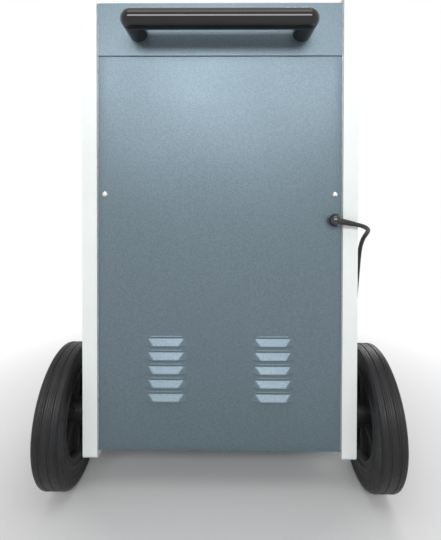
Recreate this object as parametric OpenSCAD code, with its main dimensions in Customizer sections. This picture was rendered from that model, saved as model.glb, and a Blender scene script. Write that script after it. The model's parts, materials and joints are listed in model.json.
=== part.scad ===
// Wheeled workshop battery charger.
// The front with the controls faces -Y, the back with the handle and wheels faces +Y.
// The origin is on the floor, under the middle of the charger.

/* [Case] */
// Width over the two side panels
body_w = 392; // [360:1:440]
// Depth of the side panels at the floor end
body_d = 330; // [300:1:380]
// Height of the side panels
side_h = 661; // [620:1:720]
// Height of the side panels' lower edge over the floor
floor_gap = 55; // [45:1:65]
// Height of the front knee over the side panels' lower edge
knee_h = 430; // [400:1:460]
// Depth of the flat top
top_d = 175; // [150:1:200]
// Sheet thickness of the side panels
side_t = 1.5; // [1:0.1:2.5]
// Width of the side panels' folded edge
strip_w = 21; // [16:0.5:26]
// Depth of the lip behind the folded edge
lip_d = 14; // [10:0.5:18]
// Radius of the side panels' corners
corner_r = 6; // [2:0.5:12]
// Step from the side panels' edge in to the grey panels
proud = 4; // [2:0.5:7]
// Step from the side panels' top down to the grey top
top_sink = 8; // [5:0.5:12]
// Step from the side panels' lower edge up to the tray
bottom_rise = 11; // [8:0.5:14]
// Sheet thickness of the grey panels
cover_t = 1.5; // [1:0.1:2]
// Thickness of the base tray
tray_t = 2.5; // [2:0.1:4]
// Gap between a grey panel and the side panel beside it
panel_gap = 1; // [0.5:0.1:1.5]
// Height of the rear seam over the side panels' lower edge
seam_h = 578; // [540:1:600]
// Gap at the seams
seam_gap = 1.2; // [0.6:0.1:2]
// Sheet thickness of the inner side frames
frame_t = 2; // [1.5:0.1:3]
// Width of the inner side frames' flanges
frame_w = 20; // [18:0.5:24]

/* [Louvres] */
// Length of a louvre
louvre_l = 62; // [50:1:70]
// Height of a louvre
louvre_h = 10.5; // [8:0.5:13]
// How far a louvre stands out of its panel
louvre_out = 5; // [3:0.5:7]
// Slant of a louvre's ends
louvre_slant = 5; // [3:0.5:8]
// Step from one louvre to the next
louvre_step = 20; // [16:0.5:22]
// Number of louvres in a column
louvre_n = 5; // [3:1:6]
// Distance of a column from the middle
louvre_x = 77; // [60:1:90]
// Height of the lowest louvre over the side panels' lower edge
louvre_z = 83; // [60:1:100]

/* [Wheels] */
// Diameter of the wheels
wheel_d = 200; // [180:1:220]
// Width of the tyres
tyre_w = 36; // [30:1:40]
// Diameter of the rims
rim_d = 132; // [110:1:140]
// Gap between a tyre and the side panel
wheel_gap = 14; // [12:0.5:18]
// Distance of the axle in from the back
axle_in = 45; // [40:1:60]
// Diameter of the axle
axle_d = 16; // [12:0.5:18]
// Wall of the wheel bushes
bush_t = 3; // [2:0.5:4]
// Diameter of the hubs
hub_d = 40; // [34:1:48]
// How far a hub stands out past its tyre
hub_out = 4; // [3:0.5:6]
// Number of spokes in a rim
spoke_n = 6; // [4:1:8]
// Radial clearance of parts that turn
run_gap = 0.05; // [0.02:0.01:0.1]
// End gap between a wheel and what holds it
end_gap = 0.4; // [0.3:0.1:0.8]
// Depth of the tread grooves
groove_d = 1.4; // [0.8:0.1:2.5]

/* [Handle] */
// Diameter of the handle tube
handle_d = 27; // [22:0.5:30]
// Width over the handle
handle_w = 260; // [200:1:280]
// Distance of the handle's middle line behind the side panels
handle_out = 41; // [35:0.5:50]
// Height of the handle's middle line over the side panels' lower edge
handle_z = 611; // [600:1:630]
// Length of a corner piece along the bar, from the tube's end
elbow_l = 17; // [15:0.5:22]
// Diameter of the handle bolts
handle_bolt_d = 8; // [6:0.5:10]
// How far the handle bolts reach into the legs
handle_bolt_l = 22; // [16:1:26]

/* [Stand] */
// Distance of the front stand in from the front
stand_in = 30; // [15:1:50]
// Depth of the front stand
stand_d = 30; // [24:1:40]
// Width over the front stand's legs
stand_w = 298; // [240:1:310]
// Diameter of the foot pads
pad_d = 26; // [18:1:28]
// Height of the foot pads
pad_h = 6; // [4:0.5:8]

/* [Screws] */
// Diameter of the panel screws
screw_d = 5; // [4:0.5:6]
// Diameter of the screw heads
screw_head_d = 9; // [8:0.5:10]
// Height of the screw heads
screw_head_h = 2.8; // [2:0.1:3.5]
// Distance of the panel screws in from the grey panels' side edges
screw_edge = 9; // [7:0.5:12]
// Distance of the front screws from the front panel's ends
front_screw_end = 24; // [20:1:30]
// Distance of the slope's screws from the sloped panel's ends
slope_screw_end = 18; // [16:1:26]
// Length of the panel screws
screw_l = 12; // [10:1:16]
// Height of the rear screws over the side panels' lower edge
screw_z = 381; // [370:1:400]
// Radial clearance of a screw or bolt in its hole
screw_gap = 0.05; // [0.02:0.01:0.1]

/* [Mains lead] */
// Height of the cable gland over the side panels' lower edge
gland_z = 345; // [325:1:360]
// Distance of the cable gland in from the grey panel's side edge
gland_edge = 11.5; // [10:0.5:14]
// Diameter of the gland's head
gland_d = 19; // [17:0.5:19.5]
// How far the gland's head stands out of the rear panel
gland_out = 18; // [16:0.5:22]
// Diameter of the gland's neck
gland_neck_d = 13; // [11:0.5:14]
// Length of the gland's neck behind the panel's face
gland_neck_l = 14; // [12:0.5:18]
// Width of the gland's nut over its corners
gland_nut_d = 19; // [17:0.5:21]
// Height of the gland's nut
gland_nut_h = 5; // [4:0.5:6]
// Diameter of the lead
cord_d = 6.2; // [5.8:0.1:6.4]
// Length of the strain relief, from the gland's middle line
relief_l = 25; // [22:0.5:25]
// Droop of the strain relief
relief_a = 11; // [5:1:15]

/* [Controls] */
// Width of the ammeter
meter_w = 96; // [80:1:100]
// Height of the ammeter
meter_h = 80; // [70:1:84]
// How far the ammeter stands out
meter_out = 9; // [8:0.5:12]
// Depth of the ammeter behind the panel
meter_in = 38; // [30:1:45]
// Length of the ammeter's needle
needle_l = 42; // [34:1:44]
// Diameter of the knobs
knob_d = 46; // [36:1:50]
// Height of the knobs
knob_h = 18; // [14:1:22]
// Diameter of the knobs' shafts
shaft_d = 6; // [5:0.5:8]
// Side of the switch and timer bodies
switch_w = 44; // [36:1:50]
// Depth of the switch and timer bodies
switch_d = 40; // [30:1:50]
// Length of the mains rocker's frame
rocker_w = 32; // [28:1:36]
// Height of the mains rocker's frame
rocker_h = 25; // [24:1:28]
// Radius of the rocker about its pivot
rocker_r = 9; // [8:0.5:9.5]
// Tilt of the rocker to each side
rocker_a = 12; // [8:1:14]
// Diameter of the reset button
reset_d = 11; // [9:0.5:14]
// How far the reset button stands out of its collar
reset_out = 5; // [4:0.5:7]
// Diameter of the pilot lamps
lamp_d = 10; // [8:0.5:14]
// Length of the fuse cover
fuse_w = 92; // [80:1:100]
// Height of the fuse cover
fuse_h = 40; // [34:1:50]
// How far the fuse cover stands out
fuse_out = 16; // [14:0.5:22]
// Distance between the output terminals
stud_pitch = 90; // [70:1:110]
// Distance of the terminals below the front knee
stud_drop = 60; // [50:1:80]
// Diameter of the terminal studs
stud_d = 10; // [9:0.5:12]
// Diameter of the studs' plain ends
stud_tip_d = 8; // [6:0.5:8.5]
// Length of the studs behind the front panel
stud_in = 24; // [20:1:30]
// How far the terminal studs stand out of the front panel
stud_out = 40; // [36:1:50]
// Diameter of the terminal knobs
stud_knob_d = 26; // [22:1:32]
// Height of the terminal knobs
stud_knob_h = 15; // [12:1:18]
// Height of the terminals' insulating collars
collar_h = 8; // [6:0.5:10]

/* [Transformer] */
// Width of the core
core_w = 150; // [130:1:170]
// Thickness of the stack
core_t = 70; // [50:1:80]
// Height of the core
core_h = 125; // [110:1:140]
// Width of the core's limbs
limb_w = 25; // [20:1:28]
// Overhang of the windings
winding_out = 24; // [15:1:28]
// Height of the core over the tray
core_lift = 6; // [4:0.5:10]
// Distance of the transformer from the back
core_in = 195; // [180:1:215]

/* [Rectifier] */
// Distance of the heatsink's plate from the middle
sink_x = 100; // [90:1:110]
// Distance of the heatsink from the back
sink_in = 175; // [165:1:185]
// Length of the heatsink
sink_l = 95; // [80:1:100]
// Height of the heatsink
sink_h = 105; // [80:1:120]
// Thickness of the heatsink's plate
sink_t = 6; // [4:0.5:8]
// Depth of the heatsink's fins
fin_d = 30; // [20:1:36]
// Thickness of the heatsink's fins
fin_t = 2.5; // [1.5:0.5:4]
// Number of fins
fin_n = 9; // [5:1:10]
// Diameter of the diodes
diode_d = 12; // [10:0.5:14]
// Height of the diodes
diode_h = 12; // [10:0.5:15]
// Number of diodes
diode_n = 4; // [2:1:4]

/* [Hidden] */

white = "#f2f7f6";
grey = "#8797a1";
steel = "#b9bcc0";
black = "#17181a";
rubber = "#202022";

// Heights over the floor and distances from the middle
axle_z = wheel_d / 2;
top_z = floor_gap + side_h;
tray_z = floor_gap + bottom_rise;
grey_w = body_w - 2 * strip_w - 2 * panel_gap;
screw_x = grey_w / 2 - screw_edge;
gland_x = grey_w / 2 - gland_edge;
inner_x = body_w / 2 - strip_w;
tyre_x = body_w / 2 + wheel_gap;
hub_x = tyre_x - hub_out;
hub_l = tyre_w + 2 * hub_out;
washer_t = 2;
cap_h = 11;
cap_r = axle_d / 2 + 5;
handle_leg_x = handle_w / 2 - handle_d / 2;

// The charger's back is placed so that the origin is under its middle
back_reach = max(axle_z - axle_in, handle_out + handle_d / 2);
front_reach = body_d - proud + stud_out;
back_y = (front_reach - back_reach) / 2;
front_y = back_y - body_d + proud;

// Side profiles: distance from the back counts down, height counts up
function profile(s0, s1, z0, knee_z, top_s, z1) =
    [[-s1, z0], [-s0, z0], [-s0, z1], [-top_s, z1], [-s1, knee_z]];
side_outline = profile(0, body_d, floor_gap, floor_gap + knee_h, top_d, top_z);

// The outline with each edge moved in by its own distance
function edge_line(p, i, d) =
    let (a = p[i], b = p[(i + 1) % len(p)], v = (b - a) / norm(b - a))
    [a + d * [-v[1], v[0]], v];
function meet(e, f) =
    let (w = f[0] - e[0], c = e[1][0] * f[1][1] - e[1][1] * f[1][0])
    e[0] + e[1] * (w[0] * f[1][1] - w[1] * f[1][0]) / c;
function inset(p, d) =
    [for (i = [0 : len(p) - 1])
        let (j = (i + len(p) - 1) % len(p))
        meet(edge_line(p, j, d[j]), edge_line(p, i, d[i]))];
function even(d) = [d, d, d, d, d];

// The outline with round corners of radius r
function round_corners(p, r, n = 5) =
    [for (i = [0 : len(p) - 1])
        let (
            a = p[(i + len(p) - 1) % len(p)], b = p[i], c = p[(i + 1) % len(p)],
            u = (a - b) / norm(a - b), v = (c - b) / norm(c - b),
            half = acos(u * v) / 2,
            m = b + (u + v) / norm(u + v) * r / sin(half),
            from = b + u * r / tan(half) - m, to = b + v * r / tan(half) - m,
            turn = 180 - 2 * half
        )
        for (k = [0 : n])
            m + (from * sin(turn * (1 - k / n)) + to * sin(turn * k / n)) / sin(turn)];

grey_outline = inset(side_outline, [bottom_rise, proud, top_sink, proud, proud]);
cover_inside = inset(grey_outline, [tray_t, cover_t, cover_t, cover_t, cover_t]);
slope_top = grey_outline[3];
slope_foot = grey_outline[4];
slope_l = norm(slope_top - slope_foot);
slope_a = atan2(slope_top[1] - slope_foot[1], slope_top[0] - slope_foot[0]);
slope_mid = (slope_top + slope_foot) / 2;
seam_z = floor_gap + seam_h;

// Room round a nut inside the case
nut_room = 1.5;
// Where the control panel's upper end stops, under the top cover's front edge
slope_end = (cover_t * (1 - cos(slope_a)) + seam_gap) / sin(slope_a);

// Places on the sloped control panel: in from its side edges, and up the slope from its middle
meter_at = [90 - grey_w / 2, 66];
lamp_at = [0, 94];
lamp_step = 28;
lamp_n = 3;
fuse_at = [grey_w / 2 - 82, 70];
selector_at = [74 - grey_w / 2, -62];
timer_at = [0, -62];
rocker_at = [grey_w / 2 - 74, -30];
reset_at = [grey_w / 2 - 74, -92];

// Profile, x from and width: extruded across the charger
module across(x, w) {
    translate([x, back_y, 0]) rotate([90, 0, 90]) linear_extrude(w) children();
}

// Both sides of the charger: side 1 is +X and side -1 is -X
module at_side(side) {
    if (side > 0) children();
    else mirror([1, 0, 0]) children();
}

// On the sloped panel, with Z out of its face
module on_slope(at) {
    translate([0, back_y + slope_mid[0], slope_mid[1]]) rotate([slope_a, 0, 0])
        translate([at[0], at[1], 0]) children();
}

// On the front panel, with Z out of its face
module on_front(x, z) {
    translate([x, front_y, z]) rotate([90, 0, 0]) children();
}

// On the rear panel, with Z out of its face
module on_rear(x, z) {
    translate([x, back_y - proud, z]) rotate([90, 0, 180]) children();
}

// A cylinder along +X from x
module rod_x(x, l, r) {
    translate([x, 0, 0]) rotate([0, 90, 0]) cylinder(h = l, r = r, $fn = 96);
}

// ---- Case ----

// A folded pan: outer sheet, edge turned in all round, and a lip behind the edge
module side_panel() {
    outer = round_corners(side_outline, corner_r);
    edge = round_corners(inset(side_outline, even(side_t)), corner_r - side_t);
    deep = inset(side_outline, even(lip_d));
    color(white) difference() {
        union() {
            across(body_w / 2 - side_t, side_t) polygon(outer);
            across(inner_x, strip_w) difference() {
                polygon(outer);
                polygon(edge);
            }
            across(inner_x, side_t) difference() {
                polygon(outer);
                polygon(deep);
            }
        }
        at_axle() rod_x(body_w / 2 - side_t - 1, side_t + 2, axle_d / 2 + run_gap);
    }
}

module side_panel_left() { at_side(-1) side_panel(); }
module side_panel_right() { at_side(1) side_panel(); }

// A folded angle that follows the grey panels round each side and carries them
module side_frame(gland) {
    lip = inset(cover_inside, even(frame_t));
    web = inset(cover_inside, even(frame_w));
    color(steel) difference() {
        union() {
            across(inner_x - frame_t, frame_t) difference() {
                polygon(cover_inside);
                polygon(web);
            }
            across(inner_x - frame_w, frame_w) difference() {
                polygon(cover_inside);
                polygon(lip);
            }
        }
        on_rear(screw_x, floor_gap + screw_z) screw_hole();
        for (z = front_screw_z) on_front(screw_x, z) screw_hole();
        for (v = slope_screw_v) on_slope([screw_x, v]) screw_hole();
        if (gland) on_rear(gland_x, floor_gap + gland_z) translate([0, 0, -frame_w / 2 - cover_t])
            cylinder(h = frame_w / 2, r = gland_nut_d / 2 + nut_room, $fn = 64);
    }
}

module side_frame_left() { at_side(-1) side_frame(true); }
module side_frame_right() { at_side(1) side_frame(false); }

front_screw_z = [tray_z + front_screw_end, floor_gap + knee_h - front_screw_end];
slope_screw_v = [-slope_l / 2 + slope_screw_end, slope_l / 2 - slope_screw_end];

module screw_hole() {
    translate([0, 0, -screw_l - 1]) cylinder(h = screw_l + 2, r = screw_d / 2 + screw_gap, $fn = 48);
}

// A pan-head screw with its head on the panel's face
module screw() {
    big = (pow(screw_head_d / 2, 2) + pow(screw_head_h, 2)) / (2 * screw_head_h);
    color("silver") union() {
        translate([0, 0, -screw_l]) cylinder(h = screw_l, r = screw_d / 2, $fn = 48);
        difference() {
            intersection() {
                translate([0, 0, screw_head_h - big]) sphere(big, $fn = 64);
                cylinder(h = screw_head_h, r = screw_head_d / 2, $fn = 48);
            }
            for (a = [0, 90]) rotate([0, 0, a]) translate([-screw_d / 2, -0.5, screw_head_h - 1.5])
                cube([screw_d, 1, 2]);
        }
    }
}

// A pressed hood, open below, centred on its own middle line, standing out of Z = 0
module hood(shrink) {
    w = louvre_l / 2 - shrink;
    h = louvre_h - shrink;
    out = louvre_out - shrink;
    in = cover_t + 1;
    slant = louvre_slant;
    cut = [[-w, -in], [w, -in], [w, 0], [w - 1.6 * slant, out], [-w + 1.6 * slant, out], [-w, 0]];
    low = shrink > 0 ? -1 : 0;
    translate([0, -louvre_h / 2, 0]) intersection() {
        rotate([90, 0, 90]) linear_extrude(2 * w, center = true)
            polygon([[low, -in], [h, -in], [h, 0], [h * 0.12, out], [low, out]]);
        linear_extrude(4 * out + 4 * in, center = true)
            polygon([[-w, low], [w, low], [w, h * 0.3], [w - slant, h], [slant - w, h], [-w, h * 0.3]]);
        rotate([90, 0, 0]) linear_extrude(4 * h, center = true) polygon(cut);
    }
}

// A panel's hoods, or the slots that they cover
module louvres(slots) {
    for (side = [-1, 1], i = [0 : louvre_n - 1])
        translate([side * louvre_x, floor_gap + louvre_z + louvre_h / 2 + i * louvre_step, 0])
            if (slots) hood(cover_t * 0.7);
            else intersection() {
                hood(0);
                translate([-louvre_l, -louvre_h, 0]) cube([2 * louvre_l, 2 * louvre_h, louvre_out]);
            }
}

module rear_panel() {
    z0 = tray_z;
    z1 = seam_z - seam_gap / 2;
    color(grey) difference() {
        union() {
            translate([-grey_w / 2, back_y - proud - cover_t, z0]) cube([grey_w, cover_t, z1 - z0]);
            on_rear(0, 0) louvres(false);
        }
        on_rear(0, 0) louvres(true);
        for (x = [-screw_x, screw_x]) on_rear(x, floor_gap + screw_z) screw_hole();
        on_rear(-gland_x, floor_gap + gland_z) translate([0, 0, -cover_t - 1])
            cylinder(h = cover_t + 2, r = gland_neck_d / 2 + screw_gap, $fn = 64);
    }
}

// The flat top, its rear skirt and its two short side flanges
module top_cover() {
    skirt_z = seam_z + seam_gap / 2;
    cut = inset(grey_outline, [0, cover_t, cover_t, cover_t, 0]);
    color(grey) difference() {
        across(-grey_w / 2, grey_w) intersection() {
            difference() {
                polygon(grey_outline);
                polygon(cut);
            }
            translate([slope_top[0], skirt_z]) square([body_d, side_h]);
        }
        for (x = [-handle_leg_x, handle_leg_x]) on_rear(x, floor_gap + handle_z)
            panel_bore([0, 0], handle_bolt_d);
    }
}

module panel_window(at, w, h) {
    translate([at[0] - w / 2, at[1] - h / 2, -cover_t - 1]) cube([w, h, cover_t + 2]);
}

module panel_bore(at, d) {
    translate([at[0], at[1], -cover_t - 1]) cylinder(h = cover_t + 2, r = d / 2 + screw_gap, $fn = 64);
}

module control_panel() {
    low = -slope_l / 2 + seam_gap / 2;
    color(grey) on_slope([0, 0]) difference() {
        translate([-grey_w / 2, low, -cover_t]) cube([grey_w, slope_l / 2 - slope_end - low, cover_t]);
        panel_window(meter_at, meter_w - meter_rim, meter_h - meter_rim);
        panel_window(rocker_at, rocker_w - rocker_rim, rocker_h - rocker_rim);
        panel_bore(selector_at, shaft_d + 2 * neck_t);
        panel_bore(timer_at, shaft_d + 2 * neck_t);
        panel_bore(reset_at, reset_neck_d);
        for (i = [0 : lamp_n - 1]) panel_bore(lamp_at - [0, i * lamp_step], lamp_d);
        for (x = [-screw_x, screw_x], v = slope_screw_v) translate([x, v, 0]) screw_hole();
        for (x = [-1, 1]) panel_bore(fuse_at + [x * fuse_pitch / 2, 0], fuse_bolt_d);
    }
}

module front_panel() {
    z1 = slope_foot[1] - seam_gap / 2;
    color(grey) difference() {
        union() {
            translate([-grey_w / 2, front_y, tray_z]) cube([grey_w, cover_t, z1 - tray_z]);
            on_front(0, 0) louvres(false);
        }
        on_front(0, 0) louvres(true);
        for (x = [-screw_x, screw_x], z = front_screw_z) on_front(x, z) screw_hole();
        for (x = stud_x) on_front(x, floor_gap + stud_z) translate([0, 0, -cover_t - 1])
            cylinder(h = cover_t + 2, r = collar_neck_d / 2 + screw_gap, $fn = 64);
    }
}

// The tray lies between the two side panels' lips, inside the front and rear panels
module base_tray() {
    color(grey) translate([-inner_x, front_y + cover_t, tray_z])
        cube([2 * inner_x, body_d - 2 * proud - 2 * cover_t, tray_t]);
}

module front_stand() {
    y = front_y + stand_in;
    leg = 3;
    foot = 30;
    plate = 2.5;
    color(black) for (side = [-1, 1]) at_side(side) union() {
        translate([0, y, tray_z - plate]) cube([stand_w / 2, stand_d, plate]);
        translate([stand_w / 2 - leg, y, pad_h]) cube([leg, stand_d, tray_z - pad_h]);
        translate([stand_w / 2 - foot, y, pad_h]) cube([foot, stand_d, plate]);
    }
}

module foot_pads() {
    x = stand_w / 2 - 15;
    color(rubber) for (side = [-1, 1]) translate([side * x, front_y + stand_in + stand_d / 2, 0])
        cylinder(h = pad_h, r = pad_d / 2, $fn = 64);
}

module rear_screws() {
    for (x = [-screw_x, screw_x]) on_rear(x, floor_gap + screw_z) screw();
}

module front_screws() {
    for (x = [-screw_x, screw_x]) {
        for (z = front_screw_z) on_front(x, z) screw();
        for (v = slope_screw_v) on_slope([x, v]) screw();
    }
}

// ---- Axle and wheels ----

bracket_x = 130;
bracket_t = 5;
bracket_r = 18;
axle_end = tyre_x + tyre_w + hub_out + end_gap + washer_t + cap_h * 0.6;

module at_axle() { translate([0, back_y - axle_in, axle_z]) children(); }

module axle() {
    color(steel) at_axle() rod_x(-axle_end, 2 * axle_end, axle_d / 2);
}

module axle_bracket() {
    foot = 24;
    r = bracket_r;
    base = tray_z + tray_t - axle_z;
    color(black) at_axle() difference() {
        union() {
            translate([bracket_x, 0, 0]) rotate([0, 90, 0]) cylinder(h = bracket_t, r = r, $fn = 64);
            translate([bracket_x, -r, base]) cube([bracket_t, 2 * r, -base]);
            translate([bracket_x - foot, -r, base]) cube([foot + bracket_t, 2 * r, bracket_t]);
        }
        rod_x(bracket_x - 1, bracket_t + 2, axle_d / 2 + screw_gap);
    }
}

module axle_bracket_left() { at_side(-1) axle_bracket(); }
module axle_bracket_right() { at_side(1) axle_bracket(); }

// Rim: a ring with two flanges, a web, spokes and a hub
module wheel_rim() {
    r = rim_d / 2;
    mid = tyre_x + tyre_w / 2;
    half = tyre_w / 2 - 2;
    lip = r - 4;
    wall = r - 7;
    web = 2.5;
    hub = hub_d / 2 - 1;
    spoke_t = 6;
    spoke_half = half - 6;
    color(black) at_axle() difference() {
        union() {
            rotate([0, 90, 0]) rotate_extrude($fn = 96) translate([0, mid]) polygon([
                [r, -half], [r, half], [lip, half], [wall, half - 8], [wall, web], [hub, web],
                [hub, -web], [wall, -web], [wall, 8 - half], [lip, -half]]);
            rod_x(hub_x, hub_l, hub_d / 2);
            for (i = [0 : spoke_n - 1]) rotate([i * 360 / spoke_n, 0, 0])
                translate([mid - spoke_half, -spoke_t / 2, hub - 1])
                    cube([2 * spoke_half, spoke_t, wall + 2 - hub]);
        }
        rod_x(hub_x - 1, hub_l + 2, axle_d / 2 + bush_t);
    }
}

module wheel_rim_left() { at_side(-1) wheel_rim(); }
module wheel_rim_right() { at_side(1) wheel_rim(); }

// Tyre section: a crowned tread with two main grooves, round shoulders and a raised bead
module tyre() {
    r = rim_d / 2;
    o = wheel_d / 2;
    w = tyre_w;
    shoulder = 6;
    bead = [[r, 2], [r + 3, 0], [r + 9, 1.5], [o - 10, 1.5], [o - shoulder, 0.6]];
    round = [for (k = [1 : 4]) let (a = 90 * k / 4) [o - shoulder * (1 - sin(a)), shoulder * (1 - cos(a))]];
    groove = [[o, w / 3 - 1], [o - groove_d, w / 3], [o, w / 3 + 1]];
    half = concat(bead, round, groove);
    back = [for (i = [len(half) - 1 : -1 : 0]) [half[i][0], w - half[i][1]]];
    color(rubber) at_axle() translate([tyre_x, 0, 0]) rotate([0, 90, 0]) rotate_extrude($fn = 128)
        polygon(concat(half, back));
}

module tyre_left() { at_side(-1) tyre(); }
module tyre_right() { at_side(1) tyre(); }

module wheel_bush() {
    color("silver") at_axle() difference() {
        rod_x(hub_x, hub_l, axle_d / 2 + bush_t);
        rod_x(hub_x - 1, hub_l + 2, axle_d / 2 + run_gap);
    }
}

module wheel_bush_left() { at_side(-1) wheel_bush(); }
module wheel_bush_right() { at_side(1) wheel_bush(); }

// A spacer inside each wheel and a washer outside it
module axle_washers() {
    outside = hub_x + hub_l + end_gap;
    color(steel) for (side = [-1, 1]) at_side(side) at_axle() {
        difference() {
            rod_x(body_w / 2, hub_x - end_gap - body_w / 2, axle_d / 2 + 4);
            rod_x(body_w / 2 - 1, hub_x - body_w / 2 + 2, axle_d / 2 + screw_gap);
        }
        difference() {
            rod_x(outside, washer_t, axle_d / 2 + 6);
            rod_x(outside - 1, washer_t + 2, axle_d / 2 + screw_gap);
        }
    }
}

module axle_cap() {
    x = hub_x + hub_l + end_gap + washer_t;
    color(black) at_axle() difference() {
        union() {
            rod_x(x, cap_h * 0.7, cap_r);
            intersection() {
                rod_x(x, cap_h, cap_r);
                translate([x + cap_h - 2 * cap_r, 0, 0]) sphere(2 * cap_r, $fn = 96);
            }
        }
        rod_x(x - 1, axle_end - x + 1.2, axle_d / 2 + screw_gap);
    }
}

module axle_cap_left() { at_side(-1) axle_cap(); }
module axle_cap_right() { at_side(1) axle_cap(); }

// ---- Handle ----

module at_handle() { translate([0, back_y + handle_out, floor_gap + handle_z]) children(); }

module handle_bar() {
    l = handle_w / 2 - elbow_l;
    color(black) at_handle() rod_x(-l, 2 * l, handle_d / 2);
}

// A corner piece: a short collar at the tube's end, a round corner, and a leg that cradles the tube
module handle_elbow() {
    r = handle_d / 2;
    leg = handle_out + proud;
    color(black) at_handle() difference() {
        union() {
            rod_x(handle_w / 2 - elbow_l, elbow_l - r, r);
            translate([handle_leg_x, 0, 0]) sphere(r, $fn = 96);
            translate([handle_leg_x, 0, 0]) rotate([90, 0, 0]) cylinder(h = leg, r = r, $fn = 96);
        }
        rod_x(0, handle_w / 2 - elbow_l, r + screw_gap);
        translate([handle_leg_x, handle_bolt_l + 2 - leg, 0]) rotate([90, 0, 0])
            cylinder(h = handle_bolt_l + 3, r = handle_bolt_d / 2 + screw_gap, $fn = 48);
    }
}

module handle_elbow_left() { at_side(-1) handle_elbow(); }
module handle_elbow_right() { at_side(1) handle_elbow(); }

module handle_bolts() {
    head = 5;
    r = handle_bolt_d / 2;
    color(steel) for (x = [-handle_leg_x, handle_leg_x]) on_rear(x, floor_gap + handle_z) {
        translate([0, 0, -cover_t]) cylinder(h = cover_t + handle_bolt_l, r = r, $fn = 48);
        translate([0, 0, -cover_t - head]) cylinder(h = head, r = 1.7 * r, $fn = 6);
    }
}

// ---- Mains lead ----

relief_out = 13.5;
relief_r0 = 4.8;
relief_r1 = 3.5;

// Along the strain relief, from the gland's middle line outwards
module at_relief() {
    translate([-gland_x, back_y - proud + relief_out, floor_gap + gland_z])
        rotate([0, -90 - relief_a, 0]) children();
}

module cable_gland() {
    r = gland_d / 2;
    color(black) difference() {
        on_rear(-gland_x, floor_gap + gland_z) {
            cylinder(h = gland_out - r, r = r, $fn = 96);
            translate([0, 0, gland_out - r]) sphere(r, $fn = 96);
            translate([0, 0, -gland_neck_l]) cylinder(h = gland_neck_l, r = gland_neck_d / 2, $fn = 64);
        }
        at_relief() cylinder(h = relief_l, r1 = relief_r0, r2 = relief_r1, $fn = 64);
        on_rear(-gland_x, floor_gap + gland_z) translate([0, 0, -gland_neck_l - 1])
            cylinder(h = gland_neck_l - 4, r = cord_d / 2, $fn = 48);
    }
}

module gland_nut() {
    color(black) on_rear(-gland_x, floor_gap + gland_z) difference() {
        translate([0, 0, -cover_t - gland_nut_h]) cylinder(h = gland_nut_h, r = gland_nut_d / 2, $fn = 6);
        translate([0, 0, -cover_t - gland_nut_h - 1])
            cylinder(h = gland_nut_h + 2, r = gland_neck_d / 2 + screw_gap, $fn = 64);
    }
}

module strain_relief() {
    color(black) at_relief() cylinder(h = relief_l, r1 = relief_r0, r2 = relief_r1, $fn = 64);
}

// The lead's route: out of the relief, round the side panel's edge and down to the floor
route = [
    [-187.1, 165, 395.2], [-197.5, 163.5, 392.8], [-206.5, 158, 389.3], [-212.5, 149.5, 384.8],
    [-214.5, 138, 378.8], [-215, 124, 370], [-216, 110, 356.5], [-218, 98, 338], [-221, 84, 312],
    [-226, 62, 272], [-232, 38, 228], [-239, 14, 182], [-246, -10, 136], [-252, -34, 90],
    [-256, -53, 55], [-257.5, -67, 31], [-258, -80, 14.5], [-258, -94, 6], [-258, -104, 4.2],
    [-258, -112, 4]
];

// A smooth curve through the route's points, n steps from each to the next
function curve(p, n) =
    [for (i = [0 : len(p) - 2], k = [0 : n - 1])
        let (
            a = i > 0 ? p[i - 1] : 2 * p[0] - p[1], b = p[i], c = p[i + 1],
            d = i < len(p) - 2 ? p[i + 2] : 2 * p[len(p) - 1] - p[len(p) - 2], t = k / n
        )
        0.5 * (2 * b + (c - a) * t + (2 * a - 5 * b + 4 * c - d) * t * t
            + (3 * b - 3 * c + d - a) * t * t * t),
     p[len(p) - 1]];

// A tube of radius r swept along points
module sweep(p, r, sides) {
    n = len(p);
    rings = [for (i = [0 : n - 1])
        let (
            t = p[min(i + 1, n - 1)] - p[max(i - 1, 0)], d = t / norm(t),
            u = cross(d, [0, 0, 1]) / norm(cross(d, [0, 0, 1])), v = cross(u, d)
        )
        for (k = [0 : sides - 1]) p[i] + r * (cos(360 * k / sides) * u + sin(360 * k / sides) * v)];
    walls = [for (i = [0 : n - 2], k = [0 : sides - 1])
        let (a = i * sides + k, b = i * sides + (k + 1) % sides)
        each [[a, a + sides, b], [b, a + sides, b + sides]]];
    first = [for (k = [1 : sides - 2]) [0, k, k + 1]];
    last = [for (k = [1 : sides - 2]) let (o = (n - 1) * sides) [o, o + k + 1, o + k]];
    polyhedron(rings, concat(walls, first, last));
}

module mains_cord() { color(black) sweep(curve(route, 3), cord_d / 2, 8); }

// The rest of the lead: a spiral in on the floor and out again on top of it
coil_turns = 6;
coil_r = 46.5;
coil_pitch = 6.9;
coil_rise = 7.1;
coil_z = 4;
coil_at = [route[len(route) - 1][0] + coil_r, route[len(route) - 1][1] - cord_d];
plug_z = 18.6;
coil_steps = 24;

function step_up(t) = let (s = min(max(t, 0), 1)) s * s * (3 - 2 * s);
function coil_point(t) =
    let (
        r = coil_r - coil_pitch * min(t, coil_turns - t), a = 180 + 360 * t,
        up = coil_rise * step_up((t - coil_turns / 2) * 2 + 0.5),
        last = (plug_z - coil_z - coil_rise) * step_up((t - coil_turns) * 2 + 1)
    )
    [coil_at[0] + r * cos(a), coil_at[1] + r * sin(a), coil_z + up + last];
coil_line = [for (i = [0 : coil_turns * coil_steps]) coil_point(i / coil_steps)];
coil_gap = min([for (i = [0 : len(coil_line) - 1], j = [i + coil_steps / 2 : 1 : len(coil_line) - 1])
    norm(coil_line[i] - coil_line[j])]) - cord_d;
echo(least_gap_between_the_turns = coil_gap);

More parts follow.
